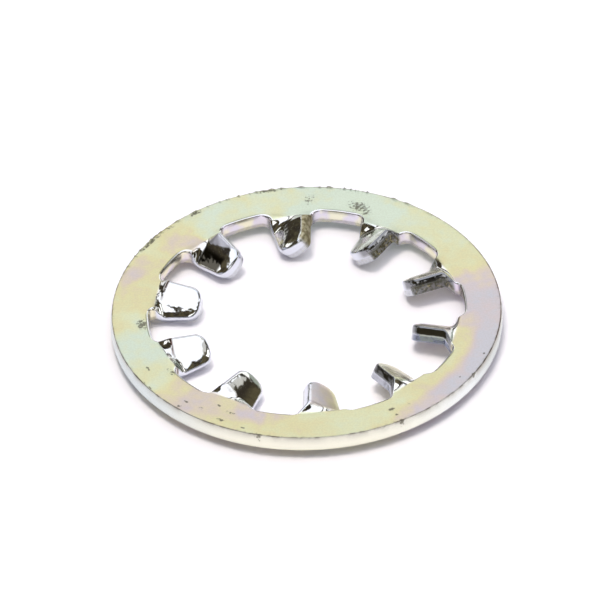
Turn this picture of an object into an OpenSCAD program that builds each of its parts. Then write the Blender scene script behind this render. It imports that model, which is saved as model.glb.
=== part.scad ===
// Internal-tooth lock washer, stamped from one piece of plated spring steel.
// The washer lies on the lowered edges of its teeth: the axis is Z, and Z = 0 is the surface under it.

/* [Ring] */
// Outside diameter of the flat ring
outer_d = 15; // [14:0.1:18]
// Width of the flat ring, from its rim to the bottom of the gaps between teeth
ring_w = 1.44; // [1.1:0.02:1.8]
// Thickness of the sheet
sheet_t = 0.67; // [0.5:0.01:0.9]
// Radius of the rim's lower edge, rolled over by the blanking punch
rim_roll = 0.14; // [0.08:0.01:0.2]
// Radius of the rim's upper edge, which is barely broken
rim_break = 0.025; // [0.02:0.005:0.1]
// Distance by which the upper half of the rim leans in
rim_lean = 0.035; // [0:0.005:0.08]

/* [Teeth] */
// Number of teeth around the hole
tooth_count = 10; // [6:1:12]
// Direction of the first tooth, in degrees from the X axis
first_tooth = 23; // [0:0.5:36]
// Diameter of the hole that the tooth tips leave free
hole_d = 8.26; // [7.6:0.02:9]
// Width of a tooth where it leaves the ring
root_w = 1.74; // [1.4:0.02:2]
// Width of a tooth at its tip
tip_w = 1.18; // [0.9:0.02:1.5]
// Length of the rounded end of a tooth
nose_len = 0.42; // [0.3:0.02:0.6]
// Squareness of the rounded end, where 2 is an ellipse
nose_power = 2.4; // [2:0.1:3]
// Radius of the corner between a tooth and the ring
fillet_r = 0.34; // [0.2:0.02:0.5]

/* [Cut edge around the hole] */
// Radius of the upper edge along the gaps, rolled over by the piercing punch
gap_roll = 0.07; // [0.04:0.01:0.12]
// Radius of the upper edge around the teeth, which give way more
edge_roll = 0.16; // [0.08:0.01:0.2]
// Fall of a tooth's upper face from its middle to the start of the rolled edge
crown = 0.06; // [0.02:0.01:0.1]
// Share of the sheet's thickness at which the upright band of the cut ends and the broken zone begins
shear_share = 0.575; // [0.52:0.005:0.7]
// Distance by which the broken zone leans back under the edge, running out at the tips
undercut = 0.08; // [0.02:0.01:0.12]
// Radius of the lower edge
lip_r = 0.05; // [0.03:0.01:0.1]

/* [Twist] */
// Twist of a tooth about its own length, in degrees
twist = 37; // [20:1:45]
// Distance from the bottom of the gaps to the start of the bend, in the middle of a tooth
bend_from = 0.14; // [0.06:0.01:0.2]
// Distance by which the bend starts earlier at the raised edge and later at the lowered one
bend_slant = 0.04; // [0:0.01:0.06]
// Length over which a tooth takes up its twist
bend_len = 0.46; // [0.4:0.02:0.9]
// Evenness of the bend, where 1 is an even S curve and less starts more sharply
bend_snap = 0.9; // [0.6:0.05:1]

/* [Hidden] */

// Colour of the pale zinc plating
plating = [0.86, 0.84, 0.70];

// Facets along a corner arc, a straight side and a rounded end of a tooth
arc_steps = 5;
side_steps = 7;
nose_steps = 6;
// Crowding of the facets along a side towards the bend, where 1 is even
side_crowding = 1.3;
// Facets across a tooth, and around its upper and lower edges
cross_steps = 6;
roll_steps = 3;
lip_steps = 2;
// Length over which the crown comes up from the flat ring
crown_run = 0.5;
// Reach of a tooth's corner arcs into the ring's wall, so that they cross it at an angle
bite = 0.02;
// Depth to which the foot of a tooth is buried in the ring, past the rolled edge
foot = 0.35;

outer_r = outer_d/2;
root_r = outer_r - ring_w;
tip_r = hole_d/2;
nose_x = tip_r + nose_len;
shear_z = sheet_t*(0.5 - shear_share);

function limit(s, low, high) = min(max(s, low), high);
function ease(s) = let (c = limit(s, 0, 1)) c*c*(3 - 2*c);
function flip(p) = [p[0], -p[1]];
function unit(v) = v/norm(v);
function across(d) = unit([d[1], -d[0]]);

// The straight sides of a tooth, whose axis is X, narrow from the ring to the tip
side_slope = (root_w - tip_w)/2/(root_r - tip_r);
side_lean = atan(side_slope);
function half_w(x) = tip_w/2 + side_slope*(x - tip_r);

// A straight side and a rounded end, at a distance inside the widest outline
function straight_side(from_x, to_x, inside) = [
    for (i = [1:side_steps])
        let (x = from_x + (to_x - from_x)*pow(i/side_steps, side_crowding))
        [x, half_w(x) - inside]
];
function rounded_end(from_x, inside) = [
    for (i = [1:nose_steps])
        let (a = 90*(1 - i/nose_steps))
        let (x = from_x - nose_len*pow(cos(a), 2/nose_power))
        [x, (half_w(x) - inside)*pow(sin(a), 2/nose_power)]
];

// The corner arc touches the side, and its centre lies this far from the washer's axis
arc_reach = root_r + bite - fillet_r;
arc_rise = half_w(0) + fillet_r/cos(side_lean);
arc_span = 1 + side_slope*side_slope;
arc_x = (sqrt(arc_reach*arc_reach*arc_span - arc_rise*arc_rise) - side_slope*arc_rise)/arc_span;
arc_y = side_slope*arc_x + arc_rise;
foot_angle = atan2(arc_y, arc_x);
foot_r = root_r + edge_roll + foot;
foot_point = foot_r*[cos(foot_angle), sin(foot_angle)];

// Half of a tooth's flat outline: corner arc, straight side and rounded end, up to the middle of the tip
arc_points = [
    for (i = [0:arc_steps])
        let (a = foot_angle + (side_lean - 90 - foot_angle)*i/arc_steps)
        [arc_x + fillet_r*cos(a), arc_y + fillet_r*sin(a)]
];
outline = concat(
    arc_points,
    straight_side(arc_points[arc_steps][0], nose_x, 0),
    rounded_end(nose_x, 0)
);
tip = len(outline) - 1;

// Directions out of the metal along that half outline
function neighbour(i) = i > tip ? flip(outline[tip - 1]) : outline[i];
normals = [
    for (i = [0:tip])
        i == 0 ? -[cos(foot_angle), sin(foot_angle)] : across(neighbour(i + 1) - outline[i - 1])
];

// The roll of the upper edge grows around the corner arc, and starts as steep as the crown has become
crown_lean = atan(4*crown/((root_w + tip_w)/2 - 2*edge_roll));
function growth(i) = i < arc_steps ? ease(i/arc_steps) : 1;
function roll_at(i) = gap_roll + (edge_roll - gap_roll)*growth(i);
function lean_at(i) = crown_lean*growth(i);
function inset_at(i) = roll_at(i)*(1 - sin(lean_at(i)));
side_inset = inset_at(tip)/cos(side_lean);

// The line where the roll begins, drawn as an outline of its own so that it doesn't fold over at the tip
roll_arc = [for (i = [0:arc_steps]) outline[i] - inset_at(i)*normals[i]];
roll_nose_x = nose_x + inset_at(tip);
roll_line = concat(
    roll_arc,
    straight_side(roll_arc[arc_steps][0], roll_nose_x, side_inset),
    rounded_end(roll_nose_x, side_inset)
);

// Height of the crowned upper face over mid-sheet
function face_z(p) =
    let (to_side = abs(p[1])/(half_w(p[0]) - side_inset))
    let (to_tip = limit((roll_nose_x - p[0])/nose_len, 0, 1))
    let (fall = limit(pow(to_side, nose_power) + pow(to_tip, nose_power), 0, 1))
    sheet_t/2 - crown*ease((root_r - norm(p))/crown_run)*pow(fall, 2/nose_power);

// Section of the cut from the upper face to the lower one: share of the roll that is left, step back, height
function cut(roll, lean, top, back) = concat(
    [
        for (j = [0:roll_steps])
            let (a = lean + (90 - lean)*j/roll_steps)
            [(1 - sin(a))/(1 - sin(lean)), 0, top - roll*(cos(lean) - cos(a))]
    ],
    [[0, 0, shear_z]],
    [
        for (j = [0:lip_steps])
            let (a = 90*j/lip_steps)
            [0, back + lip_r*(1 - cos(a)), lip_r*(1 - sin(a)) - sheet_t/2]
    ]
);
function back_at(i) = undercut*ease((outline[i][0] - tip_r)/nose_len);
gap_cut = cut(gap_roll, 0, sheet_t/2, undercut);
cuts = [for (i = [0:tip]) cut(roll_at(i), lean_at(i), face_z(roll_line[i]), back_at(i))];
last = len(gap_cut) - 1;

// One side of the flat tooth in row j of the section, from its buried foot to the tip, as points in space
function flat_point(i, s) = concat(outline[i] + s[0]*(roll_line[i] - outline[i]) - s[1]*normals[i], s[2]);
function flat_side(j) = concat(
    [concat(foot_point, gap_cut[j][2])],
    [for (i = [0:tip]) flat_point(i, cuts[i][j])]
);
rows = tip + 2;

// The flat tooth is twisted about its axis, more and more from the ring inward
function twist_at(p) =
    let (start = root_r - bend_from - bend_slant*limit(2*p[1]/root_w, -1, 1))
    twist*ease(pow(limit((start - norm([p[0], p[1]]))/bend_len, 0, 1), bend_snap));
function turned(p) =
    let (a = twist_at(p))
    [p[0], p[1]*cos(a) + p[2]*sin(a), p[2]*cos(a) - p[1]*sin(a)];

// Points of one loop around the tooth: down one side to the tip and back up the other
function other(p) = [p[0], -p[1], p[2]];
function loop(j) =
    let (side = flat_side(j))
    [for (k = [0:2*rows - 2]) turned(k < rows ? side[k] : other(side[2*rows - 2 - k]))];
loop_n = 2*rows - 1;

// Points between the two sides, on one face: straight across the foot, and along arcs from there to the tip
function between(p, s) = norm(p)*[cos(atan2(p[1], p[0])*s), sin(atan2(p[1], p[0])*s)];
function inner_points(j) =
    let (side = flat_side(j))
    [
        for (i = [0:rows - 2], c = [1:cross_steps - 1])
            let (s = 1 - 2*c/cross_steps)
            let (p = [side[i][0], side[i][1]])
            let (q = i == 0 ? [p[0], p[1]*s] : between(p, s))
            turned(concat(q, j == 0 ? face_z(q) : -sheet_t/2))
    ];
inner_n = (rows - 1)*(cross_steps - 1);

tooth_points = concat(
    [for (j = [0:last]) each loop(j)],
    inner_points(0),
    inner_points(last),
    [[foot_point[0], 0, 0]]
);
edge_n = (last + 1)*loop_n;
foot_middle = edge_n + 2*inner_n;

// Number of the point in row i and column c of the upper face (side 0) or the lower face (side 1)
function face_point(side, i, c) =
    c == 0 ? side*last*loop_n + i :
    c == cross_steps ? side*last*loop_n + loop_n - 1 - i :
    edge_n + side*inner_n + i*(cross_steps - 1) + c - 1;
// Faces read clockwise from outside
function quad(a, b, c, d) = [[a, c, b], [a, d, c]];
function turn(triangle, side) = side == 0 ? triangle : [triangle[2], triangle[1], triangle[0]];

edge_faces = [
    for (j = [0:last - 1], k = [0:loop_n - 2])
        each quad(j*loop_n + k, (j + 1)*loop_n + k, (j + 1)*loop_n + k + 1, j*loop_n + k + 1)
];
plane_faces = [
    for (side = [0, 1], i = [0:rows - 3], c = [0:cross_steps - 1])
        for (t = quad(face_point(side, i, c), face_point(side, i + 1, c),
                      face_point(side, i + 1, c + 1), face_point(side, i, c + 1)))
            turn(t, side)
];
tip_faces = [
    for (side = [0, 1], c = [0:cross_steps - 1])
        let (end = side*last*loop_n + rows - 1)
        turn([face_point(side, rows - 2, c), face_point(side, rows - 2, c + 1), end], side)
];
foot_rim = concat(
    [for (c = [0:cross_steps]) face_point(0, 0, c)],
    [for (j = [1:last - 1]) j*loop_n + loop_n - 1],
    [for (c = [cross_steps:-1:0]) face_point(1, 0, c)],
    [for (j = [last - 1:-1:1]) j*loop_n]
);
foot_faces = [
    for (i = [0:len(foot_rim) - 1])
        [foot_rim[(i + 1) % len(foot_rim)], foot_rim[i], foot_middle]
];

// Height of mid-sheet in the ring, with the lowest edges of the teeth at Z = 0
mid_z = -min([for (p = tooth_points) p[2]]);

module tooth() {
    polyhedron(tooth_points, concat(edge_faces, plane_faces, tip_faces, foot_faces));
}

// Section of the rim from the upper face to the lower one, as steps inward and heights over mid-sheet
rim_cut = concat(
    [
        for (j = [0:lip_steps])
            let (a = 90*j/lip_steps)
            [rim_lean + rim_break*(1 - sin(a)), sheet_t/2 - rim_break*(1 - cos(a))]
    ],
    [[0, 0]],
    [
        for (j = [0:roll_steps])
            let (a = 90*j/roll_steps)
            [rim_roll*(1 - cos(a)), rim_roll*(1 - sin(a)) - sheet_t/2]
    ]
);

// Section of the flat ring: the wall of the gaps on the inside, the rim on the outside
module ring_section() {
    inner = [for (s = gap_cut) [root_r + s[0]*gap_roll + s[1], s[2]]];
    outer = [for (i = [len(rim_cut) - 1:-1:0]) [outer_r - rim_cut[i][0], rim_cut[i][1]]];
    polygon(concat(inner, outer));
}

module washer() {
    color(plating)
    translate([0, 0, mid_z]) {
        rotate_extrude($fn = 180) ring_section();
        for (k = [0:tooth_count - 1])
            rotate(first_tooth + 360*k/tooth_count) tooth();
    }
}

washer();
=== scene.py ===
# %% [markdown]
# # A lock washer with inner teeth
# The real washer is one ring of thin spring steel. A punch cuts the ring and its short teeth out of a
# sheet, a second tool twists the teeth, and a whole barrel of washers is then plated with zinc and
# dipped until a thin, pale, iridescent film covers them. This lesson goes the same way: outline, cut
# edge, twist and plating, and at the end a small studio with a table, a few lamps and a camera.
#
# The imported part comes first. It fixes the size and the place of the washer, and it is kept in the
# scene.

# %% Load the imported part
import math

import bpy
import numpy as np
from mathutils import Matrix, Vector, noise


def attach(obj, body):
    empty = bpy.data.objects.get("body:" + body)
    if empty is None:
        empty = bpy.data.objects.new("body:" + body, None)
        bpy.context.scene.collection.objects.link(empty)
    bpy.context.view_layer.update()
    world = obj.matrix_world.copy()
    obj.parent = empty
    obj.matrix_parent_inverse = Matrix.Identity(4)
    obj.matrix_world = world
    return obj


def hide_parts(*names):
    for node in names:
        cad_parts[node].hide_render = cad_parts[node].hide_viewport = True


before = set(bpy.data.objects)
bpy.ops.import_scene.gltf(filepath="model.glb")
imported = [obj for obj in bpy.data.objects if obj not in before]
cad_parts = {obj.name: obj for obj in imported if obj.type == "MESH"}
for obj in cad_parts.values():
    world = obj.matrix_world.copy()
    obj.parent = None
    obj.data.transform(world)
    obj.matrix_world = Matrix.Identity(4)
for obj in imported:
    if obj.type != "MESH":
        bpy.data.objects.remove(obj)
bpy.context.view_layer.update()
MM = 0.001

# %% [markdown]
# ## The outline of a tooth
# Seen flat, before the twist, a tooth has a rounded corner on either side where it leaves the ring,
# two straight sides that come a little closer together, and a rounded end. Half of that outline is
# enough, because the other half mirrors it. The X axis runs along the tooth, out from the washer's
# axis. The corner's centre is found by asking for a circle that touches both the side and the wall of
# the gap, and the end is a superellipse, which is squarer than an ellipse.

# %% Half of the tooth outline, in millimetres
outer_r = 7.5
root_r = outer_r - 1.44
tip_r = 8.26 / 2
root_w = 1.74
tip_w = 1.18
nose_len = 0.42
nose_power = 2.4
corner_r = 0.34
CORNER_STEPS = 12
SIDE_STEPS = 28
NOSE_STEPS = 16
side_crowding = 1.3

slope = (root_w - tip_w) / 2 / (root_r - tip_r)
lean = math.atan(slope)


def half_width(x):
    return tip_w / 2 + slope * (x - tip_r)


def rounded_end(start_x, length, back_off):
    swing = np.linspace(math.pi / 2, 0, NOSE_STEPS + 1)[1:]
    x = start_x - length * np.cos(swing) ** (2 / nose_power)
    y = (half_width(x) - back_off) * np.maximum(np.sin(swing), 0) ** (2 / nose_power)
    return np.column_stack([x, y])


rise = half_width(0) + corner_r / math.cos(lean)
span = 1 + slope * slope
corner_x = (math.sqrt((root_r - corner_r) ** 2 * span - rise * rise) - slope * rise) / span
corner_y = slope * corner_x + rise
foot_angle = math.atan2(corner_y, corner_x)

turn = np.linspace(foot_angle, lean - math.pi / 2, CORNER_STEPS + 1)
corner = np.column_stack([corner_x + corner_r * np.cos(turn), corner_y + corner_r * np.sin(turn)])
nose_x = tip_r + nose_len
side_share = np.linspace(0, 1, SIDE_STEPS + 1)[1:] ** side_crowding
side_x = corner[-1, 0] + (nose_x - corner[-1, 0]) * side_share
side = np.column_stack([side_x, half_width(side_x)])
half = np.vstack([corner, side, rounded_end(nose_x, nose_len, 0.0)])
tip = len(half) - 1
print("half outline has", len(half), "points, and the tip lies", round(half[-1, 0], 3), "mm out")

# %% [markdown]
# ## The whole inner contour
# One pitch of the contour goes in along one side of a tooth, around its tip, out along the other side
# and on along the wall of the gap to the next tooth. Each point also gets the direction out of the
# metal, because the lower edges are made by stepping back from the contour along that direction.

# %% One pitch of the contour and its directions
TEETH = 10
GAP_STEPS = 36
pitch = 2 * math.pi / TEETH
mirror = np.array([1.0, -1.0])

after = np.vstack([half[1:], half[-2:-1] * mirror])
before = np.vstack([half[:1], half[:-1]])
along = after - before
out = np.column_stack([along[:, 1], -along[:, 0]])
out[0] = -np.array([math.cos(foot_angle), math.sin(foot_angle)])
out /= np.linalg.norm(out, axis=1)[:, None]

gap_angle = np.linspace(foot_angle, pitch - foot_angle, GAP_STEPS + 1)[1:-1]
gap_ray = np.column_stack([np.cos(gap_angle), np.sin(gap_angle)])


def whole_pitch(half_line, gap_line):
    return np.vstack([half_line * mirror, half_line[-2::-1], gap_line])


contour = whole_pitch(half, root_r * gap_ray)
contour_out = whole_pitch(out, -gap_ray)
PITCH_POINTS = len(contour)
print("one pitch of the contour has", PITCH_POINTS, "points")

# %% [markdown]
# ## Crown and rolled edge
# The punch drags the upper skin of the sheet down before it cuts, so the upper edge is rolled over.
# Along the gaps the roll is narrow. The slim teeth give way much further: their whole upper face is
# crowned, and a wider roll carries on from the crown. On four teeth, at the right, the crest came out
# sharper than on the others, so there are two kinds of upper face. A plain offset of the outline
# would fold over itself inside the tip, so the line where the roll begins is drawn as an outline of
# its own.

# %% The line where the roll begins, and the height of the crowned face
sheet = 0.67
crown = 0.06
crown_start = 0.5
least_half = 0.05
roll_gap = 0.07
roll_wide = 0.16
roll_narrow = 0.10
SHARP_TEETH = (0, 1, 8, 9)


def ease(s):
    s = np.clip(s, 0, 1)
    return s * s * (3 - 2 * s)


grow_half = np.ones(len(half))
grow_half[:CORNER_STEPS + 1] = ease(np.linspace(0, 1, CORNER_STEPS + 1))


class UpperFace:
    def __init__(self, roll_tooth):
        crown_lean = math.atan(4 * crown / ((root_w + tip_w) / 2 - 2 * roll_tooth))
        self.radius = roll_gap + (roll_tooth - roll_gap) * grow_half
        self.lean = crown_lean * grow_half
        inset = self.radius * (1 - np.sin(self.lean))
        self.side_inset = inset[-1] / math.cos(lean)
        self.nose_x = nose_x + inset[-1]
        corner_line = (half - inset[:, None] * out)[:CORNER_STEPS + 1]
        x = corner_line[-1, 0] + (self.nose_x - corner_line[-1, 0]) * side_share
        side_line = np.column_stack([x, half_width(x) - self.side_inset])
        nose_line = rounded_end(self.nose_x, nose_len, self.side_inset)
        self.line = np.vstack([corner_line, side_line, nose_line])

    def height(self, flat):
        x, y = flat[..., 0], np.abs(flat[..., 1])
        to_side = y / np.maximum(half_width(x) - self.side_inset, least_half)
        to_tip = np.clip((self.nose_x - x) / nose_len, 0, 1)
        out_of_middle = np.clip(to_side ** nose_power + to_tip ** nose_power, 0, 1) ** (2 / nose_power)
        on_it = ease((root_r - np.linalg.norm(flat, axis=-1)) / crown_start)
        return sheet / 2 - crown * on_it * out_of_middle


soft_crest = UpperFace(roll_wide)
sharp_crest = UpperFace(roll_narrow)
upper_face = [sharp_crest if k in SHARP_TEETH else soft_crest for k in range(TEETH)]
roll_starts = [round(face.side_inset, 3) for face in (soft_crest, sharp_crest)]
print("rolls of the teeth start", roll_starts, "mm inside")

# %% [markdown]
# ## The section of the cut
# Under the roll the punch shears a bright, upright band. Below that the sheet breaks off: the broken
# zone is rough, leans back under the edge except at the tip, and ends in a small lip. The section is
# built as rows from the upper face to the lower one. Every row says how much of the roll is left, how
# far it lies behind the cut, and how high it is over the middle of the sheet.

# %% Rows of the section around the hole
shear_end = -0.05
undercut = 0.08
lip_r = 0.05
break_curve = 1.15
rough_onset = 3
ROLL_STEPS = 9
SHEAR_STEPS = 3
BREAK_STEPS = 7
LIP_STEPS = 4


def whole_row(half_row, gap_value):
    return np.concatenate([half_row, half_row[-2::-1], np.full(len(gap_ray), gap_value)])


def upper_rows(face):
    roll_from = whole_row(face.lean, 0.0)
    roll_turn = roll_from + (math.pi / 2 - roll_from) * np.linspace(0, 1, ROLL_STEPS + 1)[:, None]
    roll_left = (1 - np.sin(roll_turn)) / (1 - np.sin(roll_from))
    drop = whole_row(face.radius, roll_gap) * (np.cos(roll_from) - np.cos(roll_turn))
    roll_z = whole_row(face.height(face.line), sheet / 2) - drop
    shear_share = np.linspace(0, 1, SHEAR_STEPS + 1)[1:, None]
    shear_z = roll_z[-1] + (shear_end - roll_z[-1]) * shear_share
    return roll_left, np.vstack([roll_z, shear_z])


break_share = np.linspace(0, 1, BREAK_STEPS + 1)[1:]
lip_turn = np.linspace(0, math.pi / 2, LIP_STEPS + 1)[1:]
low_z = np.concatenate([shear_end + (lip_r - sheet / 2 - shear_end) * break_share,
                        lip_r * (1 - np.sin(lip_turn)) - sheet / 2])
ROWS = ROLL_STEPS + 1 + SHEAR_STEPS + len(low_z)
upright = np.zeros(ROWS - BREAK_STEPS - LIP_STEPS)
lean_back = np.concatenate([upright, break_share ** break_curve, np.ones(LIP_STEPS)])
lip_back = np.concatenate([np.zeros(ROWS - LIP_STEPS), lip_r * (1 - np.cos(lip_turn))])
undercut_half = undercut * ease((half[:, 0] - tip_r) / nose_len)
row_back = lean_back[:, None] * whole_row(undercut_half, undercut) + lip_back[:, None]
row_break = np.concatenate([upright, ease(break_share * rough_onset), np.ones(LIP_STEPS)])
print("section around the hole has", ROWS, "rows")

# %% [markdown]
# ## The twist
# A tool grips each tooth and turns it about its own length, so that one edge bites into the screw
# head and the other into the work. The flat ring reaches a little way into the tooth, a bit further
# on the side that goes down, and then the metal turns sharply. A smooth step over that short bend
# gives the share of the turn at each point. No two teeth come out quite alike, so short lists, in the
# order of the teeth, shorten the bend of one, let it start later on some, and add a little reach or
# take it away.

# %% Twist a block of flat points
twist = math.radians(37)
bend_r = root_r - 0.14
bend_slant = 0.04
bend_len = 0.46
bend_snap = 0.9
bend_share = (1.0, 1.0, 1.0, 0.7, 1.0, 1.0, 1.0, 1.0, 1.0, 1.0)
extra_reach = (0.01, 0.02, 0.01, 0.02, 0.0, 0.02, 0.01, -0.01, -0.01, -0.01)
later_bend = (0.0, 0.10, 0.10, 0.08, 0.0, 0.0, 0.0, -0.10, 0.0, 0.0)


def twist_share(flat, k):
    side_of_tooth = np.clip(flat[..., 1] / (root_w / 2), -1, 1)
    start = bend_r - later_bend[k] - bend_slant * side_of_tooth
    along_bend = np.clip((start - np.linalg.norm(flat, axis=-1)) / (bend_len * bend_share[k]), 0, 1)
    return ease(along_bend ** bend_snap)


def twisted(flat, height, k):
    share = twist_share(flat, k)
    angle = twist * share
    x, y = flat[..., 0] - extra_reach[k] * share, flat[..., 1]
    across = y * np.cos(angle) + height * np.sin(angle)
    return np.stack([x, across, height * np.cos(angle) - y * np.sin(angle)], axis=-1)


print("full twist", round(math.degrees(twist)), "degrees over", bend_len, "mm")

# %% [markdown]
# ## A skin of points and faces
# The mesh is laid out as a few grids that share their border points: the cut edge around the hole,
# the faces of the teeth, the flat ring, and the rim. Grids keep the faces even, which a remesh or a
# boolean wouldn't, and even faces matter on bright metal. Each point also carries marks that the
# finish reads later, such as how far it is on a tooth or in the broken zone of a cut.

# %% Helpers that collect points, marks and faces
first_tooth = math.radians(23)
points = []
marks = {"on_tooth": [], "burnished": [], "film_shift": [], "crease": [], "wavy": [],
         "on_cut": [], "broken": [], "scraped": [], "tarnished": [], "dull": [], "gap_dirt": [],
         "on_rim": [], "rim_line": [], "rim_cream": [], "rim_high": []}
faces = []


def place(block, **mark):
    start = sum(len(p) for p in points)
    shape = np.shape(block)[:-1]
    points.append(np.asarray(block).reshape(-1, 3))
    for name, values in marks.items():
        values.append(np.array(np.broadcast_to(mark.get(name, 0.0), shape), float).ravel())
    return start + np.arange(len(points[-1])).reshape(shape)


def skin(grid, closed=False):
    if closed:
        grid = np.concatenate([grid, grid[:, :1]], axis=1)
    corners = [grid[:-1, :-1], grid[1:, :-1], grid[1:, 1:], grid[:-1, 1:]]
    faces.extend(np.stack(corners, axis=-1).reshape(-1, 4).tolist())


def around(block, step):
    angle = first_tooth + step * pitch
    c, s = math.cos(angle), math.sin(angle)
    x, y, z = block[..., 0], block[..., 1], block[..., 2]
    return np.stack([c * x - s * y, s * x + c * y, z], axis=-1)


print("first tooth lies", round(math.degrees(first_tooth)), "degrees from the X axis")

# %% [markdown]
# ## The cut edge around the hole
# Every row of the section follows the contour once around each tooth, and the rows of one step, put
# end to end, make a closed loop around the hole. Each tooth met the tools in its own way. Short lists
# say how bright the twisting tool rubbed a tooth, how its film differs and how wavy its face is,
# which shows in what it mirrors. Two lines cross some teeth: the mark of the tool's edge, and the
# fold of the bend. One tooth kept a raw corner that the tool never touched, and lower down its face
# carries a painted dark reflection.

# %% How bright the twisting tool rubbed a tooth
polish = (0.5, 0.55, 0.85, 0.92, 0.96, 0.96, 0.9, 0.02, 0.25, 0.35)
RAW_CORNER_TOOTH = 3
raw_corner_at = (5.38, -0.26)
raw_corner_slope = 0.36
raw_corner_fade = 0.06
raw_bend_y = -0.3
raw_bend_fade = 0.1
bend_in, bend_out = 6, 2
turn_in = 4


def burnish(flat, k):
    share = twist_share(flat, k)
    in_bend = ease(share * bend_in) * ease((1 - share) * bend_out)
    polished = polish[k] * ease(share * turn_in)
    if k == RAW_CORNER_TOOTH:
        raw_edge = raw_corner_at[1] - raw_corner_slope * (raw_corner_at[0] - flat[..., 0])
        polished = polished * ease((flat[..., 1] - raw_edge) / raw_corner_fade + 0.5)
        in_bend = in_bend * ease((flat[..., 1] - raw_bend_y) / raw_bend_fade)
    return in_bend + (1 - in_bend) * polished


print("most burnished tooth:", max(polish), "least:", min(polish))

# %% Film, waves and a painted dark reflection on the face of a tooth
film_middle = (0.0, 0.0, 0.0, 0.85, 0.0, 0.0, 0.0, 0.26, 0.0, 0.1)
film_across = (0.0, 0.0, 0.0, 0.0, 0.0, 0.0, 0.0, -0.30, 0.0, 0.0)
wavy = (0.7, 0.7, 0.9, 0.8, 1.1, 0.7, 0.5, 0.6, 0.9, 1.1)
# A painted dark reflection on the lower face of the tooth with the raw corner
face_painted_dark_most = 0.96
face_painted_dark_turn = (0.75, 0.2)
face_painted_dark_side = (-0.15, 0.2)
face_painted_dark_tip = (4.48, 0.12)


def film_shift(flat, k):
    across = np.clip(flat[..., 1] / half_width(flat[..., 0]), -1, 1)
    return (film_middle[k] + film_across[k] * across) * twist_share(flat, k)


def fade_in(value, start, width):
    return ease((value - start) / width)


def face_painted_dark(flat, k):
    if k != RAW_CORNER_TOOTH:
        return 0.0
    past_bend = fade_in(twist_share(flat, k), *face_painted_dark_turn)
    lowered_side = fade_in(flat[..., 1], *face_painted_dark_side)
    behind_tip = fade_in(flat[..., 0], *face_painted_dark_tip)
    return face_painted_dark_most * past_bend * lowered_side * behind_tip


print("tooth", RAW_CORNER_TOOTH, "has the raw corner and the tarnished face")

# %% Lines across a tooth
tool_edge_r = 5.64
tool_edge_slant = 0.12
tool_edge_end = 0.5
tool_edge_depth = (0.0, 0.0, 0.0, 0.0, 1.0, 1.0, 0.3, 0.0, 0.0, 0.0)
fold_r = 5.80
fold_slant = 0.05
fold_end, fold_fade = 0.8, 2
fold_depth = (0.0, 0.0, 0.0, 0.0, 0.5, 1.0, 0.3, 0.0, 0.0, 0.0)
line_half = 0.045


def line_across(flat, radius, slant):
    beside = np.linalg.norm(flat, axis=-1) - radius - slant * flat[..., 1]
    return np.exp(-(beside / line_half) ** 2)


def crease(flat, k):
    tool_edge = line_across(flat, tool_edge_r, tool_edge_slant) * ease(tool_edge_end - flat[..., 1])
    fold = line_across(flat, fold_r, fold_slant) * ease(fold_end + fold_fade * flat[..., 1])
    return np.maximum(tool_edge_depth[k] * tool_edge, fold_depth[k] * fold)


print("teeth with lines across:", sum(depth > 0 for depth in tool_edge_depth))

# %% [markdown]
# In the broken zone the metal tore, so each point steps back by up to two hundredths of a millimetre,
# after a noise pattern. The walls on the raised side of the teeth differ too: two are torn far up and
# one is scraped. On two on the right the lower wall gets a painted reflection of the shaded table, and
# on four a painted dark reflection lies under the roll. The narrow roll of the gaps shines, and at the
# back a painted dark line, standing for a dark reflection, lies under it.

# %% Where the walls are torn or scraped, and where dark reflections are painted on them
torn_wall = (0.9, 1.0, 0.0, 0.0, 0.0, 0.0, 0.0, 0.0, 0.0, 0.0)
torn_below, torn_fade = 0.10, 0.14
scraped_wall = (0.0, 0.0, 1.0, 0.0, 0.0, 0.0, 0.0, 0.0, 0.0, 0.0)
scrape_roll, scrape_roll_fade = 0.95, 0.35
scrape_in = 9
# Strength, per tooth, of a painted reflection of the shaded table on the lower raised wall
wall_painted_shade_reflection = (0.0, 0.0, 0.0, 0.0, 0.0, 0.0, 0.0, 0.0, 0.3, 0.8)
# Strength, per tooth, of a painted dark reflection under the roll of the raised wall
wall_painted_dark = (0.65, 0.65, 0.0, 0.0, 0.0, 0.0, 0.0, 0.0, 0.85, 0.7)
painted_dark_above, painted_dark_fade = -0.10, 0.08
painted_dark_roll, painted_dark_roll_fade = 0.85, 0.5
# Strength, per tooth, of a painted dark line under the narrow roll of the gaps; it stands for a dark
# reflection
gap_dirt = (1.0, 0.6, 0.9, 0.9, 0.3, 0.0, 0.0, 0.0, 0.0, 1.0)
gap_painted_dark_line_depth = 0.085
gap_painted_dark_line_half = 0.06
facing_from, facing_fade = 0.3, 0.4
tip_from, tip_fade = 0.1, 0.3

raised_side = ease((-contour_out[:, 1] - facing_from) / facing_fade)
raised_side_and_tip = ease((tip_from - contour_out[:, 1]) / tip_fade)
along_gap = np.zeros(PITCH_POINTS)
along_gap[-len(gap_ray):] = np.sin(np.linspace(0, math.pi, GAP_STEPS + 1)[1:-1]) ** 0.5
print("tarnished walls:", sum(strength > 0 for strength in wall_painted_dark))

# %% Lay the edge around the hole
tear_size = 0.022
tear_per_mm = 9.0
tear_share = (0.35, 0.4, 0.35, 0.3, 0.3, 0.3, 0.3, 0.3, 0.3, 0.25)
tear_shift = 31.7
tear_fractal = (0.8, 2.0, 3)
shine_in, shine_out = 5, 8
cut_gain, cut_gap_loss = 1.6, 0.5


def torn(flat, height, k):
    spots = np.concatenate([flat, height[..., None]], axis=-1).reshape(-1, 3) * tear_per_mm
    own_part = Vector((0, 0, tear_shift * k))
    shift = [noise.fractal(Vector(p) + own_part, *tear_fractal) for p in spots]
    return np.maximum(np.reshape(shift, height.shape), 0)


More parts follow.
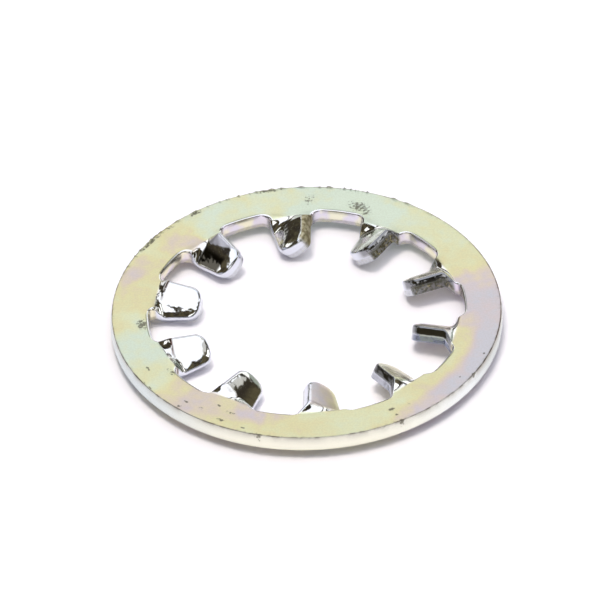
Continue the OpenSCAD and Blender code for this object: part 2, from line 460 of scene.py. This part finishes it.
def edge_of_tooth(k):
    roll_left, high_z = upper_rows(upper_face[k])
    z = np.vstack([high_z, np.repeat(low_z[:, None], PITCH_POINTS, axis=1)])
    roll_left = np.vstack([roll_left, np.zeros((ROWS - ROLL_STEPS - 1, PITCH_POINTS))])
    to_roll = whole_pitch(upper_face[k].line, (root_r + roll_gap) * gap_ray) - contour
    flat = contour + to_roll * roll_left[..., None]
    share = twist_share(flat, k)
    past_bend = ease(share * turn_in)
    torn_side = torn_wall[k] * ease((torn_below - z) / torn_fade) * past_bend * raised_side
    rough = np.maximum(row_break[:, None] * tear_share[k], torn_side)
    flat = flat - (row_back + torn(flat, z, k) * tear_size * rough)[..., None] * contour_out
    under_roll = ease((z - painted_dark_above) / painted_dark_fade)
    under_roll = under_roll * ease((painted_dark_roll - roll_left) / painted_dark_roll_fade)
    gap_shine = (1 - past_bend) * ease((1 - roll_left) * shine_in) * ease(roll_left * shine_out)
    scrape = scraped_wall[k] * ease((scrape_roll - roll_left) / scrape_roll_fade)
    # Band under the gap roll that carries the painted dark line
    dirt_and_gap_shade = np.exp(-((sheet / 2 - z - gap_painted_dark_line_depth) / gap_painted_dark_line_half) ** 2)
    return place(around(twisted(flat, z, k), k),
                 on_tooth=share,
                 burnished=np.maximum(burnish(flat, k), gap_shine),
                 film_shift=film_shift(flat, k),
                 crease=crease(flat, k),
                 wavy=wavy[k] * share,
                 on_cut=ease((1 - roll_left) * cut_gain - cut_gap_loss * (1 - past_bend)),
                 broken=rough,
                 scraped=scrape * ease(share * scrape_in) * raised_side,
                 tarnished=wall_painted_dark[k] * under_roll * past_bend * raised_side_and_tip,
                 dull=wall_painted_shade_reflection[k] * row_break[:, None] * past_bend * raised_side,
                 gap_dirt=gap_dirt[k] * dirt_and_gap_shade * along_gap)


hole_edge = np.concatenate([edge_of_tooth(k) for k in range(TEETH)], axis=1)
skin(hole_edge, closed=True)
print("edge around the hole:", hole_edge.shape[0], "by", hole_edge.shape[1], "points")

# %% [markdown]
# ## The faces of the teeth
# Each face is a stack of rows from the ring to the tip. The ends of a row are points of the edge that
# is already there, and the points between lie on a short arc around the washer's axis. They stand
# closer together near the edges, where the light changes fastest. The last row closes on the tip as a
# fan.

# %% Fill the teeth, above and below
CROSS_STEPS = 24
across_share = np.sin(np.linspace(-math.pi / 2, math.pi / 2, CROSS_STEPS + 1))[1:-1]


def tooth_face(row, line, height_of, k):
    sides = line[:-1]
    radius = np.linalg.norm(sides, axis=1)[:, None]
    angle = np.arctan2(sides[:, 1], sides[:, 0])[:, None] * across_share
    flat = np.stack([radius * np.cos(angle), radius * np.sin(angle)], axis=-1)
    block = around(twisted(flat, height_of(flat), k), k)
    share = twist_share(flat, k)
    inner = place(block, on_tooth=share, burnished=burnish(flat, k), film_shift=film_shift(flat, k),
                  crease=crease(flat, k), wavy=wavy[k] * share, tarnished=face_painted_dark(flat, k))
    start = k * PITCH_POINTS
    one_side = hole_edge[row, start:start + tip]
    other_side = hole_edge[row, start + 2 * tip:start + tip:-1]
    grid = np.column_stack([one_side, inner, other_side])
    skin(grid)
    tip_point = int(hole_edge[row, start + tip])
    faces.extend([int(a), int(b), tip_point] for a, b in zip(grid[-1, :-1], grid[-1, 1:]))
    return grid[0]


def underside(flat):
    return np.full(flat.shape[:-1], -sheet / 2)


lower_line = half - (undercut_half + lip_r)[:, None] * out
upper_roots = [tooth_face(0, upper_face[k].line, upper_face[k].height, k) for k in range(TEETH)]
lower_roots = [tooth_face(ROWS - 1, lower_line, underside, k) for k in range(TEETH)]
print("tooth faces: two sides of", TEETH, "teeth")

# %% [markdown]
# ## The flat ring and its rim
# The ring starts at the feet of the teeth and at the upper or lower end of the gap walls, and runs
# outward in circles. A circle close to each end keeps the flat face flat up to its edge. The rim was
# cut the other way up: its upper edge is sharp and carries a fine, ragged burr with some dirt in it,
# its upper half leans in a little and its lower edge is rolled. It closes the skin between the two
# faces. Two more marks are for its colour: it is cream along the front, and greyer high up.

# %% Section of the rim
rim_edge_r = 0.025
rim_lean = 0.035
rim_roll = 0.14
RIM_EDGE_STEPS = 3
RIM_WALL_STEPS = 6
RIM_FOOT_STEPS = 7
rim_turn = np.linspace(0, math.pi / 2, RIM_EDGE_STEPS + 1)
rim_top = np.column_stack([rim_lean + rim_edge_r * (1 - np.sin(rim_turn)),
                           sheet / 2 - rim_edge_r * (1 - np.cos(rim_turn))])
rim_turn = np.linspace(0, math.pi / 2, RIM_FOOT_STEPS + 1)
rim_foot = np.column_stack([rim_roll * (1 - np.cos(rim_turn)),
                            rim_roll * (1 - np.sin(rim_turn)) - sheet / 2])
rim_wall_z = np.linspace(rim_top[-1, 1], rim_foot[0, 1], RIM_WALL_STEPS + 1)[1:-1]
rim_wall = np.column_stack([rim_lean * np.clip(rim_wall_z / rim_top[-1, 1], 0, 1), rim_wall_z])
rim_section = np.vstack([rim_top, rim_wall, rim_foot])
print("section of the rim has", len(rim_section), "rows")

# %% Height of the burr on the rim
burr_height = 0.06
burr_per_mm = 11.0
burr_gain = 2.6
BURR_FROM, BURR_TO = 48, 162
BURR_FADE = 12
BURR_LEAST = 0.2
burr_dirt = 0.5
burr_dirt_gain = 2


def steps_between(angle, centre):
    return (angle - centre + 180) % 360 - 180


def burr(ray):
    angle = np.degrees(np.arctan2(ray[:, 1], ray[:, 0]))
    inside = ease((angle - BURR_FROM) / BURR_FADE) * ease((BURR_TO - angle) / BURR_FADE)
    teeth_of_burr = [noise.noise(Vector((x, y, 0.0)) * outer_r * burr_per_mm) for x, y in ray]
    spikes = np.clip(burr_gain * np.array(teeth_of_burr), 0, 1)
    return burr_height * spikes * (BURR_LEAST + (1 - BURR_LEAST) * inside)


def burr_mark(lift):
    return burr_dirt * ease(lift / burr_height * burr_dirt_gain)


print("burr stands up to", burr_height, "mm over the ring")

# %% Lay the ring and the rim
near_inside, near_rim = 0.03, 0.97
first_circle, last_circle = 0.1, 0.9
RING_CIRCLES = 15
circles_between = np.linspace(first_circle, last_circle, RING_CIRCLES)
ring_share = np.concatenate([[near_inside], circles_between, [near_rim, 1.0]])
rim_line_deep = 0.06
cream_centre, cream_half, cream_power = 270, 42, 4
high_from = -0.05


def ring_face(row, roots, height, rim_r, edge_lift):
    inner = []
    for k in range(TEETH):
        start = k * PITCH_POINTS + 2 * tip
        inner.extend([roots[k], hole_edge[row, start + 1:start + GAP_STEPS]])
    inner = np.concatenate(inner)
    ray = np.concatenate(points)[inner][:, :2]
    inner_r = np.linalg.norm(ray, axis=1)[:, None]
    ray = ray / inner_r
    circles = []
    for share in ring_share:
        xy = ray * (inner_r + (rim_r - inner_r) * share)
        line = np.clip((share - near_rim) / (1 - near_rim), 0, 1)
        lift = edge_lift(ray)
        dirt_and_gap_shade = burr_mark(lift) * (share >= near_rim)
        circles.append(place(np.column_stack([xy, height + line * lift]), rim_line=line, broken=dirt_and_gap_shade))
    grid = np.vstack([inner[None], np.stack(circles)])
    skin(grid, closed=True)
    return grid[-1], ray


def no_lift(ray):
    return np.zeros(len(ray))


upper_rim, rim_ray = ring_face(0, upper_roots, sheet / 2, outer_r - rim_section[0, 0], burr)
lower_rim, _ = ring_face(ROWS - 1, lower_roots, -sheet / 2, outer_r - rim_section[-1, 0], no_lift)
between = rim_section[1:-1]
top_line = ease(1 - (sheet / 2 - between[:, 1]) / rim_line_deep)[:, None]
rim_xy = rim_ray[None] * (outer_r - between[:, 0])[:, None, None]
rim_lift = top_line * burr(rim_ray)
rim_z = between[:, 1, None] + rim_lift
rim_angle = np.degrees(np.arctan2(rim_ray[:, 1], rim_ray[:, 0]))
cream = np.exp(-(steps_between(rim_angle, cream_centre) / cream_half) ** cream_power)
rim_high = ease((between[:, 1] - high_from) / (sheet / 2 - high_from))[:, None]
rim_block = np.concatenate([rim_xy, rim_z[..., None]], axis=-1)
rim_rows = place(rim_block, on_rim=1.0, rim_line=top_line, rim_cream=cream, rim_high=rim_high,
                 broken=burr_mark(rim_lift))
skin(np.vstack([upper_rim[None], rim_rows, lower_rim[None]]), closed=True)
print("rim:", rim_rows.shape[1], "steps around")

# %% [markdown]
# ## The film's thickness
# The film is a hundred or so millionths of a millimetre thick, and its colour follows its thickness,
# as on an oil slick: thinnest it is pale green, then straw, then a pinkish beige, then lilac. Washers
# dry in a heap, so the film sets in patches. It could be painted into an image, but a few named
# patches around the ring, blended into each other, are easier to change. A noise pattern bends their
# borders.

# %% Patches of film around the ring
# Direction in degrees, distance from the axis, half width around in degrees and half width across in
# millimetres, then the thickness from 0 (pale green) to 1 (bluish lilac)
ALL_ACROSS = 2.0
film_patches = {
    "right": (3, 6.8, 11, ALL_ACROSS, 0.90),
    "blue at the right": (12, 6.3, 6, 0.45, 1.0),
    "straw on the right": (24, 6.8, 7, ALL_ACROSS, 0.45),
    "right of the back": (39, 6.8, 11, ALL_ACROSS, 0.22),
    "yellow edge": (49, 7.35, 9, 0.30, 0.38),
    "back": (72, 6.8, 17, ALL_ACROSS, -0.03),
    "middle of the back": (103, 6.8, 6, ALL_ACROSS, 0.26),
    "left of the back": (121, 6.8, 9, ALL_ACROSS, 0.13),
    "pink at the left": (138, 6.30, 6, 0.50, 0.85),
    "behind the left": (146, 6.8, 8, ALL_ACROSS, 0.34),
    "lilac dash": (156, 7.10, 6, 0.25, 0.85),
    "left": (171, 6.8, 11, ALL_ACROSS, 0.43),
    "before the left": (198, 6.8, 9, ALL_ACROSS, -0.05),
    "a narrow one": (212, 6.8, 5, ALL_ACROSS, 0.30),
    "left of the front": (227, 6.8, 9, ALL_ACROSS, 0.63),
    "straw on the left": (243, 6.8, 7, ALL_ACROSS, 0.46),
    "lilac spot": (251, 6.32, 5, 0.40, 1.0),
    "pale spot": (261, 6.8, 6, ALL_ACROSS, 0.46),
    "front": (281, 6.8, 13, ALL_ACROSS, 0.31),
    "lilac before the right": (312, 7.20, 12, 0.45, 0.92),
    "straw inside it": (308, 6.30, 12, 0.45, 0.36),
    "blue before the right": (338, 7.15, 15, 0.50, 1.0),
    "straw inside that": (334, 6.30, 14, 0.40, 0.38),
}
bend_wide, wide_per_mm = 6.0, 0.8
bend_fine, fine_per_mm = 3.0, 2.4
least_weight = 1e-9


def film_thickness(spots):
    wide = np.array([noise.noise(Vector(p) * wide_per_mm) for p in spots])
    fine = np.array([noise.noise(Vector(p) * fine_per_mm) for p in spots])
    angle = np.degrees(np.arctan2(spots[:, 1], spots[:, 0])) + bend_wide * wide + bend_fine * fine
    radius = np.clip(np.linalg.norm(spots[:, :2], axis=1), root_r, outer_r)
    total, weight = np.zeros(len(spots)), np.full(len(spots), least_weight)
    for centre, distance_out, half_wide, half_across, thickness in film_patches.values():
        around_it = steps_between(angle, centre) / half_wide
        share = np.exp(-around_it ** 2 - ((radius - distance_out) / half_across) ** 2)
        total += share * thickness
        weight += share
    return total / weight


co = np.concatenate(points)
marks["film"] = [film_thickness(co)]
print("film from", round(marks["film"][0].min(), 2), "to", round(marks["film"][0].max(), 2))

# %% [markdown]
# ## Marks of handling
# Washers rub against each other in the barrel and the bag. The marks are few and small: a scribble of
# scratches behind, a scuff or two, and dark specks near the rim. Each one is a soft spot on the ring,
# and the finish breaks it up into specks and hairlines.

# %% Soft spots where the ring is scuffed
# Direction in degrees, distance from the axis, half length around and half width across in millimetres,
# then the strength
scuffs = {
    "scribble": (71.0, 6.54, 0.62, 0.42, 0.76),
    "end of the scribble": (67.5, 6.28, 0.32, 0.22, 0.76),
    "smear": (88.0, 6.70, 0.40, 0.52, 0.60),
    "rub at the back edge": (100.0, 7.36, 0.75, 0.08, 0.95),
    "next rub at the edge": (124.5, 7.34, 0.45, 0.10, 1.0),
    "third rub at the edge": (134.5, 7.36, 0.30, 0.09, 0.95),
    "rub behind the left": (143.5, 7.36, 0.85, 0.10, 1.0),
    "smudge at the left": (184.5, 6.34, 0.42, 0.28, 0.85),
    "scratch on the left": (207.0, 6.85, 0.26, 0.08, 0.9),
    "rub at a tooth": (213.0, 6.20, 0.46, 0.18, 0.72),
    "first speck on the left": (212.1, 7.38, 0.12, 0.06, 1.0),
    "second speck on the left": (215.1, 7.38, 0.12, 0.06, 1.0),
    "speck at the front left": (227.5, 6.94, 0.12, 0.08, 1.0),
    "rub at the front left": (227.0, 7.30, 0.14, 0.12, 0.8),
    "second one": (233.2, 6.90, 0.11, 0.07, 0.9),
    "dash near a tooth": (237.6, 6.41, 0.16, 0.08, 1.0),
    "dash near the rim": (241.5, 7.12, 0.18, 0.09, 1.0),
    "long dash": (243.0, 6.59, 0.30, 0.07, 0.95),
    "rim dash at the front": (254.7, 7.44, 0.22, 0.06, 1.0),
    "speck at the front": (249.2, 7.24, 0.12, 0.07, 1.0),
    "inner speck at the right": (298.0, 6.69, 0.18, 0.10, 0.95),
    "outer speck at the right": (298.0, 7.08, 0.12, 0.09, 0.95),
    "rim dash at the right": (298.0, 7.44, 0.20, 0.06, 1.0),
    "next speck": (303.8, 6.77, 0.11, 0.07, 0.9),
    "speck before the right": (324.5, 7.10, 0.12, 0.07, 0.85),
    "rim dash before the right": (327.7, 7.44, 0.18, 0.06, 1.0),
    "speck on the right": (337.5, 7.27, 0.13, 0.07, 0.95),
    "last speck": (343.6, 7.07, 0.09, 0.06, 0.8),
}


def scuffed(spots):
    angle = np.degrees(np.arctan2(spots[:, 1], spots[:, 0]))
    radius = np.linalg.norm(spots[:, :2], axis=1)
    worst = np.zeros(len(spots))
    for centre, distance_out, long, wide, strength in scuffs.values():
        around_it = np.radians(steps_between(angle, centre)) * radius / long
        across_it = (radius - distance_out) / wide
        worst = np.maximum(worst, strength * np.exp(-around_it ** 2 - across_it ** 2))
    return worst


marks["scuff"] = [scuffed(co)]
print(len(scuffs), "marks of handling")

# %% [markdown]
# ## From numbers to a mesh
# The lowest edges of the teeth touch the table, so the whole skin is lifted until its lowest point is
# at zero. The marks become attributes of the mesh, where the finish can read them.

# %% Make the washer
ring_top = sheet / 2 - co[:, 2].min()
co[:, 2] -= co[:, 2].min()
mesh = bpy.data.meshes.new("washer_steel")
mesh.from_pydata((co * MM).tolist(), [], faces)
for name, values in marks.items():
    mark = mesh.attributes.new(name, "FLOAT", "POINT")
    mark.data.foreach_set("value", np.concatenate(values).astype(np.float32))
mesh.polygons.foreach_set("use_smooth", [True] * len(mesh.polygons))
mesh.validate()
washer = bpy.data.objects.new("toothed_washer", mesh)
bpy.context.scene.collection.objects.link(washer)
print("washer mesh:", len(mesh.vertices), "points,", len(mesh.polygons), "faces")

# %% [markdown]
# ## The camera
# The picture was taken from about forty degrees above the table with a long lens, so far edges are
# hardly smaller than near ones. A long lens far away gives the same flat perspective. A matrix built
# from the three axes of the camera takes in the slight roll of the picture as well. The aim is a
# point in the plane of the ring's upper face.

# %% Place the camera
elevation = math.radians(40.057)
roll = math.radians(-1.664)
aim = Vector((-0.090, 0.453, ring_top)) * MM
distance = 957.0 * MM
sensor_mm = 36.0
lens_mm = 1480.3
backward = Vector((0.0, -math.cos(elevation), math.sin(elevation)))
level = Vector((1.0, 0.0, 0.0))
upward = backward.cross(level)
right = math.cos(roll) * level + math.sin(roll) * upward
up = math.cos(roll) * upward - math.sin(roll) * level

lens_data = bpy.data.cameras.new("long_lens")
lens_data.sensor_width = sensor_mm
lens_data.lens = lens_mm
camera = bpy.data.objects.new("camera", lens_data)
bpy.context.scene.collection.objects.link(camera)
turned_axes = Matrix((right, up, backward)).transposed().to_4x4()
camera.matrix_world = Matrix.Translation(aim + backward * distance) @ turned_axes
bpy.context.scene.camera = camera
print("camera stands", round(distance / MM), "mm from the washer")

# %% [markdown]
# ## Writing shaders as sums
# A finish is a small calculation at every point of the surface. A thin class around a node's socket
# lets that calculation be written as plain Python: each operator adds the Math node that it stands
# for. All other nodes come from one method, which takes the node's type, its settings and its inputs.
# Colours are written as on a screen, from 0 to 255, and a helper turns them into amounts of light.

# %% A socket that can be calculated with
class Wire:
    def __init__(self, recipe, socket):
        self.recipe = recipe
        self.socket = socket

    def maths(self, operation, first, second):
        return self.recipe.add("Math", {"operation": operation}, {0: first, 1: second})

    def __add__(self, other):
        return self.maths("ADD", self, other)

    __radd__ = __add__

    def __sub__(self, other):
        return self.maths("SUBTRACT", self, other)

    def __rsub__(self, other):
        return self.maths("SUBTRACT", other, self)

    def __mul__(self, other):
        return self.maths("MULTIPLY", self, other)

    __rmul__ = __mul__


class Recipe:
    def __init__(self, owner):
        owner.use_nodes = True
        self.tree = owner.node_tree
        self.tree.nodes.clear()

    def add(self, kind, settings=None, inputs=None, output=0):
        made = self.tree.nodes.new("ShaderNode" + kind)
        for name, value in (settings or {}).items():
            if name == "stops":
                while len(made.color_ramp.elements) < len(value):
                    made.color_ramp.elements.new(0.5)
                for stop, (position, colour) in zip(made.color_ramp.elements, value):
                    stop.position = position
                    stop.color = colour
            else:
                setattr(made, name, value)
        for key, value in (inputs or {}).items():
            socket = self.pick(made.inputs, key)
            if isinstance(value, Wire):
                self.tree.links.new(value.socket, socket)
            else:
                socket.default_value = value
        return Wire(self, self.pick(made.outputs, output)) if len(made.outputs) else None

    def pick(self, sockets, key):
        if isinstance(key, int):
            return sockets[key]
        return next(s for s in sockets if s.enabled and s.name == key)

    def smooth(self, wire, low, high):
        return self.add("MapRange", {"interpolation_type": "SMOOTHSTEP"},
                        {"Value": wire, "From Min": low, "From Max": high})

    def blend(self, factor, first, second):
        inputs = {"Factor": factor, "A": first, "B": second}
        return self.add("Mix", {"data_type": "RGBA"}, inputs, "Result")


def paint(red, green, blue):
    parts = [c / 255 for c in (red, green, blue)]
    return tuple(p / 12.92 if p < 0.04045 else ((p + 0.055) / 1.055) ** 2.4 for p in parts) + (1.0,)


print("shader sums are ready")

# %% [markdown]
# ## The plated finish
# Zinc under its film is a metal, so the colour is the colour of its reflections. On the flat ring the
# film gives the tint, and the sheet's rolled surface a satin gloss with a fine grain. The teeth were
# burnished by the twisting tool and are nearly mirrors without much tint. Walls of the cut are lilac
# and cream in turn. The rim is a cool grey that turns cream at the front and greyer high up and at
# the far right. The recipe takes one question at a time: first the colour.

# %% Marks and grains that the plating reads
plating = bpy.data.materials.new("pale_zinc_film")
zinc = Recipe(plating)
spot = zinc.add("TexCoord", output="Object")


def mark_of(name):
    return zinc.add("Attribute", {"attribute_name": name}, output="Fac")


def grain(per_metre, detail):
    return zinc.add("TexNoise", {}, {"Vector": spot, "Scale": per_metre, "Detail": detail})


on_tooth = zinc.smooth(mark_of("on_tooth"), 0.01, 0.25)
burnished = mark_of("burnished")
on_cut = mark_of("on_cut")
broken = mark_of("broken")
on_rim = mark_of("on_rim")
rim_line = mark_of("rim_line")
scuff = mark_of("scuff")
mottle = grain(700.0, 3.0)
fleck = grain(9000.0, 3.0)
print("the mesh carries", len(marks), "marks")

# %% Tint of the film
film_colours = [
    (0.0, paint(223, 236, 220)), (0.28, paint(231, 233, 196)), (0.46, paint(232, 226, 182)),
    (0.64, paint(228, 215, 198)), (0.82, paint(220, 209, 214)), (1.0, paint(213, 212, 222)),
]
rolled_grain = paint(172, 168, 140)
film = mark_of("film") + mark_of("film_shift") + 0.8 * (mottle - 0.5) + 0.3 * (grain(2600.0, 2.0) - 0.5)
tint = zinc.add("ValToRGB", {"stops": film_colours}, {"Fac": film})
satin = zinc.smooth(grain(14000.0, 2.0), 0.35, 0.65)
tint = zinc.blend(0.11 * satin, tint, rolled_grain)
print("the film runs through", len(film_colours), "colours")

# %% Colours of the teeth and of the walls of the cut
bright_zinc = paint(240, 241, 240)
lilac_wall = paint(222, 212, 232)
cream_wall = paint(238, 232, 206)
tooth_wall = paint(222, 225, 234)
# A blue-grey for the painted reflection of the shaded table
painted_shade_reflection_blue = paint(120, 130, 158)
# A dark brown for painted dark reflections
painted_dark_reflection_brown = paint(58, 54, 44)

colour = zinc.blend(burnished, tint, bright_zinc)
in_turn = zinc.smooth(grain(1300.0, 2.0), 0.42, 0.58)
wall = zinc.blend(in_turn, lilac_wall, cream_wall)
wall = zinc.blend(on_tooth, wall, tooth_wall)
colour = zinc.blend((0.75 + 0.25 * on_tooth) * on_cut, colour, wall)
# Painted reflection of the shaded table: blue-grey on the lower raised walls of two teeth
colour = zinc.blend(mark_of("dull"), colour, painted_shade_reflection_blue)
# Painted dark reflection on raised walls under the roll and on one tooth's lower face
colour = zinc.blend(mark_of("tarnished"), colour, painted_dark_reflection_brown)
print("teeth and walls have their colours")

# %% Colours of the rim
cool_left = paint(214, 223, 224)
cool_right = paint(236, 241, 240)
dull_right = paint(208, 215, 212)
front_cream = paint(243, 242, 224)
high_rim_grey = paint(176, 174, 164)

to_the_right = zinc.add("SeparateXYZ", {}, {0: spot}, "X")
far_right = zinc.smooth(to_the_right, 6.0 * MM, 7.1 * MM)
rim = zinc.blend(zinc.smooth(to_the_right, -4.0 * MM, 4.0 * MM), cool_left, cool_right)
rim = zinc.blend(far_right, rim, dull_right)
rim = zinc.blend(mark_of("rim_cream"), rim, front_cream)
streaks = zinc.smooth(grain(1600.0, 3.0), 0.35, 0.65)
rim_greying_high = mark_of("rim_high") * (0.3 + 0.35 * streaks + 0.45 * far_right)
rim = zinc.blend(rim_greying_high, rim, high_rim_grey)
colour = zinc.blend(on_rim, colour, rim)
print("the rim has its colours")

# %% [markdown]
# The broken zone keeps little of the film and has pits that hold dirt, so it is darker and speckled,
# with a few flecks of film that shine like gilt. The rim's sharp upper edge catches dirt too, in short
# dashes, over a painted dark line along the edge. Under the roll of the gaps at the back lies a painted
# dark line in dashes, which stands for a dark reflection. Scuffs are broken up into specks the same
# way, and the tool's creases are darkened brown in broken lines.

# %% Darker spots
pit_dirt = paint(92, 88, 64)
gilt_film = paint(218, 206, 158)
# A dark brown for the dirt and the painted dark line on the rim's upper edge
edge_dirt_and_dark_line = paint(92, 78, 66)
scrape_light, scrape_dark = paint(196, 188, 158), paint(140, 130, 98)
speck_grey = paint(112, 108, 94)
# A near black for the painted dark line under the gap roll
painted_gap_line_black = paint(48, 44, 34)
fold_brown = paint(96, 72, 62)

pits = zinc.smooth(fleck, 0.40, 0.62)
colour = zinc.blend(broken * (0.7 + 0.3 * pits), colour, pit_dirt)
gilt = zinc.smooth(grain(7500.0, 2.0), 0.58, 0.66)
colour = zinc.blend(0.6 * broken * broken * gilt, colour, gilt_film)
dashes = zinc.smooth(grain(3200.0, 2.0), 0.42, 0.58)
# Dirt in short dashes on the rim's upper edge, over a painted dark line along the whole edge, darkest
# at the far right
colour = zinc.blend(rim_line * (0.3 + 0.4 * dashes + 0.3 * far_right), colour, edge_dirt_and_dark_line)
scrape = mark_of("scraped")
furrows = zinc.smooth(grain(5000.0, 3.0), 0.4, 0.6)
colour = zinc.blend(scrape, colour, zinc.blend(furrows, scrape_light, scrape_dark))
specks = zinc.smooth(scuff + 1.4 * (fleck - 0.5), 0.5, 0.8)
colour = zinc.blend(0.8 * specks, colour, speck_grey)
# Painted dark reflection: a black line in dashes under the roll of the gaps
colour = zinc.blend(mark_of("gap_dirt") * (0.72 + 0.25 * dashes), colour, painted_gap_line_black)
fold = mark_of("crease") * (0.35 + 1.3 * zinc.smooth(grain(4200.0, 1.0), 0.4, 0.6))
colour = zinc.blend(0.7 * fold, colour, fold_brown)
print("dirt and specks are set")

# %% [markdown]
# Gloss and relief come last. Roughness falls where a tool has burnished the metal. The relief is
# shallow: a fine rolled grain on the ring, slow waves on the teeth, which make mirrored edges run
# unevenly, and coarse pits in the broken zone.

# %% Gloss and relief
gloss = 0.34 - 0.27 * burnished - 0.2 * on_cut * (1 - burnished) - 0.12 * on_rim
gloss = gloss + 0.28 * broken + 0.4 * scrape + 0.2 * specks + 0.10 * (mottle - 0.5) * (1 - on_tooth)
relief_depth = 0.004 * MM
waves = grain(1800.0, 2.0)
lumps = grain(5500.0, 2.0)
relief = 0.5 * fleck * (1 - on_tooth) + 12.0 * waves * mark_of("wavy") + 9.0 * lumps * (broken + scrape)
relief = relief - 2.0 * specks - 4.0 * fold
bumps = zinc.add("Bump", {}, {"Height": relief, "Distance": relief_depth, "Strength": 1.0})
steel = zinc.add("BsdfPrincipled", {}, {
    "Base Color": colour, "Metallic": 1.0, "Roughness": gloss, "Normal": bumps})
zinc.add("OutputMaterial", {}, {"Surface": steel})
mesh.materials.append(plating)
print("plating has", len(plating.node_tree.nodes), "nodes")

# %% [markdown]
# ## The washer takes the place of the solid
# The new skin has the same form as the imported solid, with finer steps, so it stands for it.

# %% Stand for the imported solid
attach(washer, "root")
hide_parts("washer")
print("the washer rides on root")

# %% [markdown]
# ## The table
# A white table under the washer. A camera's white is a full white, so the table adds a little light
# of its own for the eye and for mirrors, but not for its lighting of the washer, and its matt colour
# keeps the shadow. White paper leans to blue, so both leave a trace of it in the shadows.

# %% Lay the table
half_side = 0.6
table_mesh = bpy.data.meshes.new("table_top")
table_mesh.from_pydata([(-half_side, -half_side, 0), (half_side, -half_side, 0),
                        (half_side, half_side, 0), (-half_side, half_side, 0)], [], [(0, 1, 2, 3)])
table = bpy.data.objects.new("table", table_mesh)
bpy.context.scene.collection.objects.link(table)

paper_white = (0.947, 0.935, 0.98, 1.0)
no_light = (0.0, 0.0, 0.0, 1.0)
paper_glow = (0.05, 0.048, 0.066, 1.0)
white = bpy.data.materials.new("white_table")
card = Recipe(white)
seen = card.add("LightPath", output="Is Camera Ray") + card.add("LightPath", output="Is Glossy Ray")
seen = seen + card.add("LightPath", output="Is Transmission Ray")
glow = card.blend(seen, no_light, paper_glow)
paper = card.add("BsdfPrincipled", {}, {
    "Base Color": paper_white, "Roughness": 1.0, "Specular IOR Level": 0.0,
    "Emission Color": glow, "Emission Strength": 1.0})
card.add("OutputMaterial", {}, {"Surface": paper})
table_mesh.materials.append(white)
print("table is", 2 * half_side, "m wide")

# %% [markdown]
# ## The lamps and the room
# Bright metal shows its surroundings more than itself. A wide, slightly cool softbox overhead makes
# the near teeth flash white, a small warm lamp just below it draws the shadows, and a panel behind
# gives the ring its sheen. Three smaller panels do the same for a view from the other sides. They are
# only mirrored and don't light the table. The small lamp is too bright to be mirrored: seen from
# above, it would wash the film's colours out. The rest of the room is dark and uneven, which makes
# the far teeth dark, with a dim window at the back on the right. Low down, near the horizon, the
# white sweep of the studio shows again. The lamps are placed by the direction in which the washer
# sees them: across and back, for one step up.

# %% Hang the lamps
def softbox(name, low, high, height, radiance, colour, mirrored=True, lights_table=True):
    lamp_data = bpy.data.lights.new(name, "AREA")
    lamp_data.shape = "RECTANGLE"
    lamp_data.size = (high[0] - low[0]) * height
    lamp_data.size_y = (high[1] - low[1]) * height
    lamp_data.energy = radiance * math.pi * lamp_data.size * lamp_data.size_y
    lamp_data.color = colour
    lamp = bpy.data.objects.new(name, lamp_data)
    lamp.location = ((low[0] + high[0]) / 2 * height, (low[1] + high[1]) / 2 * height, height)
    lamp.visible_camera = False
    lamp.visible_glossy = mirrored
    lamp.visible_diffuse = lights_table
    bpy.context.scene.collection.objects.link(lamp)
    print(name, "is", round(lamp_data.size, 2), "by", round(lamp_data.size_y, 2), "m")


lamp_height = 0.3
key_height = 0.29
neutral = (1.0, 1.0, 1.0)
cool_light = (0.95, 0.98, 1.06)
warm_light = (1.08, 1.0, 0.89)
softbox("overhead_softbox", (-0.66, -0.74), (0.85, 0.70), lamp_height, 1.24, cool_light)
softbox("softbox_side", (0.85, -0.5), (1.05, 0.70), lamp_height, 0.6, neutral)
softbox("key_lamp", (-0.25, -0.28), (0.05, 0.02), key_height, 16.5, warm_light, mirrored=False)
softbox("back_panel", (-0.9, 0.95), (1.6, 2.5), lamp_height, 1.16, neutral)
softbox("left_panel", (-2.6, -0.4), (-1.5, 0.6), lamp_height, 1.5, neutral, lights_table=False)
softbox("right_panel", (1.3, -0.5), (2.6, 0.1), lamp_height, 2.0, neutral, lights_table=False)
softbox("front_panel", (-0.2, -2.6), (0.55, -1.2), lamp_height, 1.5, neutral, lights_table=False)

# %% Darken the room
dark_corner = (0.030, 0.024, 0.018, 1.0)
brown_corner = (0.095, 0.080, 0.045, 1.0)
window_light = (0.36, 0.40, 0.36, 1.0)
white_sweep = (0.95, 0.95, 0.95, 1.0)
window_right, window_back = 0.643, 0.766
world = bpy.data.worlds.new("room")
bpy.context.scene.world = world
room = Recipe(world)
direction = room.add("TexCoord", output="Generated")
to_back = room.add("SeparateXYZ", {}, {0: direction}, output="Y")
to_right = room.add("SeparateXYZ", {}, {0: direction}, output="X")
height = room.add("SeparateXYZ", {}, {0: direction}, output="Z")
window = room.smooth(window_right * to_right + window_back * to_back, 0.87, 0.92)
low_down = room.smooth(height, 0.2, 0.12)
uneven = room.add("TexNoise", {}, {"Vector": direction, "Scale": 2.6, "Detail": 1.0})
corners = room.smooth(uneven, 0.38, 0.62)
shade = room.blend(corners, dark_corner, brown_corner)
shade = room.blend(window, shade, window_light)
shade = room.blend(low_down, shade, white_sweep)
backdrop = room.add("Background", {}, {"Color": shade, "Strength": 1.0})
room.add("OutputWorld", {}, {"Surface": backdrop})
bpy.context.scene.view_settings.view_transform = "Standard"
print("room is lit")
